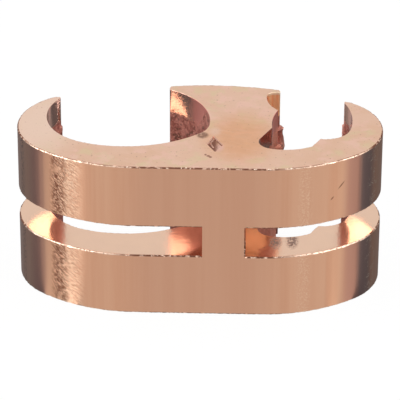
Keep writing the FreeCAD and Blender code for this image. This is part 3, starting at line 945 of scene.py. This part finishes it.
# painted reflection: the floor left of the bridge is painted browner
browner_reflection = around(tree, here, centre=(-1, -10, floor_z), reach=(4.5, 7, 1), core=0.5)
layers = [
    (film, (0.97, 0.66, 0.49), 0.5),
    (browner_reflection, (0.78, 0.5, 0.36), 1.0),
    (dulled, (0.3, 0.22, 0.19), 0.8),
]
tree.links.new(painted(tree, SLOT_COPPER, layers), shader.inputs["Base Color"])
tree.links.new(plus(tree, SLOT_ROUGHNESS, dulled, 0.35), shader.inputs["Roughness"])
chatter = patchy(tree, here, size=0.9, low=0.2, high=0.8)
bump(tree, shader, chatter, CHATTER_DEPTH)
print("slot copper nodes:", len(tree.nodes))

# %% [markdown]
# The lips are torn metal: bright where they were bent over, and black with swarf
# and oil in the tears. They are mostly dark along the middle of the front and at
# the two ends of the connector, so there are three dark places, and mostly bright in
# between. Swarf also sits in the seam behind the top lip, and tiny painted
# highlights stand for sparkling facets.

# %% Edge copper: the rolled lips
EDGE_COPPER = (0.97, 0.7, 0.54)
EDGE_ROUGHNESS = 0.32
DARK_PLACES = ((1, -14, 17, 12, 0.6), (-29, -2, 4, 8, 0.4), (29, -3, 4, 8, 0.4))
tree, shader, here = start_finish("edge copper", EDGE_COPPER, EDGE_ROUGHNESS)
oily = 0.0
for x, y, wide, deep, core in DARK_PLACES:
    reach = (wide, deep, BAND_HEIGHT)
    place = around(tree, here, centre=(x, y, HALF_WAY_UP), reach=reach, core=core)
    oily = either(tree, oily, place)
tears = patchy(tree, here, size=0.3, low=0.5, high=0.6)
dirt = patchy(tree, here, size=0.7, low=0.36, high=0.5)
swarf = patchy(tree, here, size=1.4, low=0.3, high=0.5)
# painted highlights: tiny near-white sparkles
painted_sparkles = patchy(tree, here, size=0.32, low=0.63, high=0.66)
behind_lip = ramp(tree, height_of(tree, here), TOP - 0.11 * MM, TOP - 0.05 * MM)
seam = both(tree, behind_lip, swarf)
dark = either(tree, both(tree, tears, 0.6), both(tree, dirt, oily))
dark = either(tree, dark, both(tree, seam, 0.8))
layers = [(dark, (0.2, 0.075, 0.045), 0.95), (painted_sparkles, (1.0, 0.86, 0.74), 1.0)]
tree.links.new(painted(tree, EDGE_COPPER, layers), shader.inputs["Base Color"])
tree.links.new(plus(tree, EDGE_ROUGHNESS, dark, 0.45), shader.inputs["Roughness"])
print("edge copper nodes:", len(tree.nodes))

# %% [markdown]
# Copper mirrors all round it, so what lies just outside the picture is half of its
# look. Photographers lay cards beside a metal object for that. A card here is one
# flat face that shines evenly in its own tone, which is how a mirror would see a
# lit card.

# %% Helpers for cards
def flat_card(name, corners, z, colour, strength):
    mesh = bmesh.new()
    mesh.faces.new([mesh.verts.new(at(x, y, z)) for x, y in corners])
    data = bpy.data.meshes.new(name)
    mesh.to_mesh(data)
    mesh.free()
    piece = bpy.data.objects.new(name, data)
    bpy.context.scene.collection.objects.link(piece)
    material = bpy.data.materials.new(name)
    material.use_nodes = True
    tree = material.node_tree
    light = add(tree, "ShaderNodeEmission", {"Color": (*colour, 1), "Strength": strength})
    tree.links.new(light.outputs[0], tree.nodes["Material Output"].inputs["Surface"])
    data.materials.append(material)
    return piece


def oblong(left, right, front, back):
    return [(left, front), (right, front), (right, back), (left, back)]


# %% [markdown]
# The floor is a very large card. The camera and every mirror see it shine white.
# To the camera it is 4% white paint as well, so that the connector still casts a
# faint shadow on it, and light that bounces off it counts as paint only.

# %% Floor
FLOOR_HALF = 2000
FLOOR_PAINT = (0.85, 0.85, 0.85, 1)
SHINE_FOR_CAMERA = 0.96
corners = oblong(-FLOOR_HALF, FLOOR_HALF, -FLOOR_HALF, FLOOR_HALF)
floor = flat_card("floor", corners, 0, (1, 1, 1), 1.0)
tree = floor.data.materials[0].node_tree
path = add(tree, "ShaderNodeLightPath").outputs
share = both(tree, path["Is Camera Ray"], SHINE_FOR_CAMERA)
for ray in ("Is Glossy Ray", "Is Transmission Ray"):
    share = either(tree, share, path[ray])
paint = add(tree, "ShaderNodeBsdfDiffuse", {"Color": FLOOR_PAINT}).outputs[0]
shine = tree.nodes["Emission"].outputs[0]
mix = add(tree, "ShaderNodeMixShader", {0: share, 1: paint, 2: shine})
tree.links.new(mix.outputs[0], tree.nodes["Material Output"].inputs["Surface"])
print("floor nodes:", len(tree.nodes))

# %% [markdown]
# The cards lie on the floor like thin sheets, a few hundredths of a millimetre over
# one another. A warm one in front gives the walls their tone, and dark ones left,
# right and behind give the round ends their dark stretches. A wedge on each side is
# the bright band beside them. The small ones behind are what single places mirror:
# two white strips for the slot floors, and two grey ones for the walls of the
# grooves. The groove card lies under the connector. Only reflections see the cards.

# %% Cards
LEFT_EDGE = [(-22, -8.5), (-200, -39)]
RIGHT_EDGE = [(22, -7.9), (200, -26.6)]
LEFT_BACK = [*reversed(LEFT_EDGE), (-22, 200), (-200, 200)]
RIGHT_BACK = [*RIGHT_EDGE, (200, 200), (22, 200)]
LEFT_WEDGE = [(-20.8, -11.3), (-180, -100), (-160, -143), (-19.4, -12.1)]
RIGHT_WEDGE = [(21.2, -11.4), (185, -122), (196, -96), (22.6, -10.5)]
CARDS = (
    ("front card", oblong(-200, 200, -200, -9), 0.02, (0.67, 0.6, 0.53), 1.0),
    ("back card", oblong(-200, 200, -9, 200), 0.02, (0.15, 0.15, 0.16), 1.0),
    ("left card", LEFT_BACK, 0.03, (0.17, 0.178, 0.195), 1.0),
    ("right card", RIGHT_BACK, 0.03, (0.15, 0.14, 0.14), 1.0),
    ("far back card", oblong(-16, 5, 34, 90), 0.04, (0.34, 0.32, 0.31), 1.0),
    ("hook card", oblong(-4, 9, 44.5, 62), 0.05, (0.5, 0.41, 0.39), 1.0),
    ("groove card", oblong(-20, 24, -8, 9), 0.05, (0.7, 0.7, 0.7), 1.0),
    ("left wedge", LEFT_WEDGE, 0.04, (1.0, 0.87, 0.76), 1.3),
    ("right wedge", RIGHT_WEDGE, 0.04, (0.8, 0.7, 0.6), 1.0),
    ("left strip", oblong(-31.2, -26, 24, 36.5), 0.05, (1, 0.94, 0.93), 3.5),
    ("right strip", oblong(25, 30, 25, 36.5), 0.05, (1, 0.95, 0.96), 3.9),
)
for card in CARDS:
    piece = flat_card(*card)
    piece.visible_camera = False
    piece.visible_diffuse = False
    piece.visible_shadow = False
print("cards:", len(CARDS))

# %% [markdown]
# The background has to be pure white in the picture, as in a catalogue. The copper
# sees a greyer sky, so that its level faces don't burn out.

# %% World
WHITE = (1.0, 1.0, 1.0)
GREY_SKY = (0.75, 0.75, 0.75)
world = bpy.data.worlds.new("studio")
bpy.context.scene.world = world
world.use_nodes = True
tree = world.node_tree
path = add(tree, "ShaderNodeLightPath").outputs
tone = over(tree, path["Is Camera Ray"], GREY_SKY, WHITE)
tree.links.new(tone, tree.nodes["Background"].inputs["Color"])
print("world:", world.name)

# %% [markdown]
# Four softboxes light the set, on a sphere round the connector. The two keys stand
# left and right of the camera and draw the bright columns on the rounded corners.
# The two strip lights hang higher, to the sides. A box's power grows with its area,
# so that a larger one looks equally bright in the copper.

# %% Lamps
LAMP_DISTANCE = 0.6


def softbox(name, azimuth, elevation, width, height, brightness):
    data = bpy.data.lights.new(name, "AREA")
    data.shape = "RECTANGLE"
    data.size, data.size_y = width, height
    data.energy = brightness * math.pi * width * height
    lamp = bpy.data.objects.new(name, data)
    turn, lift = math.radians(azimuth), math.radians(elevation)
    way = Vector((math.sin(turn) * math.cos(lift), -math.cos(turn) * math.cos(lift), math.sin(lift)))
    lamp.location = way * LAMP_DISTANCE
    lamp.rotation_euler = way.to_track_quat("Z", "Y").to_euler()
    lamp.visible_camera = False
    bpy.context.scene.collection.objects.link(lamp)
    print("lamp:", name)


softbox("left key", -66, 31, 0.43, 0.35, 2.6)
softbox("right key", 62, 31, 0.27, 0.35, 2.6)
softbox("left strip light", -94, 64, 0.55, 0.36, 1.4)
softbox("right strip light", 94, 64, 0.55, 0.36, 1.4)

# %% [markdown]
# The camera was fitted to the photograph: the same corners of the connector have to
# fall on the same places in the picture. It looks down at 30 degrees from about
# half a metre, stands a little to the right, and is rolled by a quarter of a
# degree. The view transform is Standard, so that colours come out as they are.

# %% Camera
CAMERA_AIM = Vector((0.058, -0.632, 13.5)) * MM
CAMERA_DISTANCE = 516.2 * MM
CAMERA_AZIMUTH = math.radians(1.6)
CAMERA_ELEVATION = math.radians(30)
CAMERA_ROLL = math.radians(0.236)
SENSOR = 36
LENS = 284.6

level = math.cos(CAMERA_ELEVATION)
aside, ahead = math.sin(CAMERA_AZIMUTH) * level, math.cos(CAMERA_AZIMUTH) * level
forward = Vector((-aside, ahead, -math.sin(CAMERA_ELEVATION)))
right = forward.cross(Vector(UPWARDS)).normalized()
up = right.cross(forward)
rolled_right = math.cos(CAMERA_ROLL) * right + math.sin(CAMERA_ROLL) * up
rolled_up = math.cos(CAMERA_ROLL) * up - math.sin(CAMERA_ROLL) * right
turn = Matrix((rolled_right, rolled_up, -forward)).transposed().to_4x4()
place = CAMERA_AIM - CAMERA_DISTANCE * forward

camera_data = bpy.data.cameras.new("camera")
camera_data.sensor_width = SENSOR
camera_data.lens = LENS
camera_data.clip_start = 10 * MM
camera = bpy.data.objects.new("camera", camera_data)
camera.matrix_world = Matrix.Translation(place) @ turn
bpy.context.scene.collection.objects.link(camera)
bpy.context.scene.camera = camera
bpy.context.scene.view_settings.view_transform = "Standard"
print("camera at mm:", [round(side / MM, 1) for side in place])
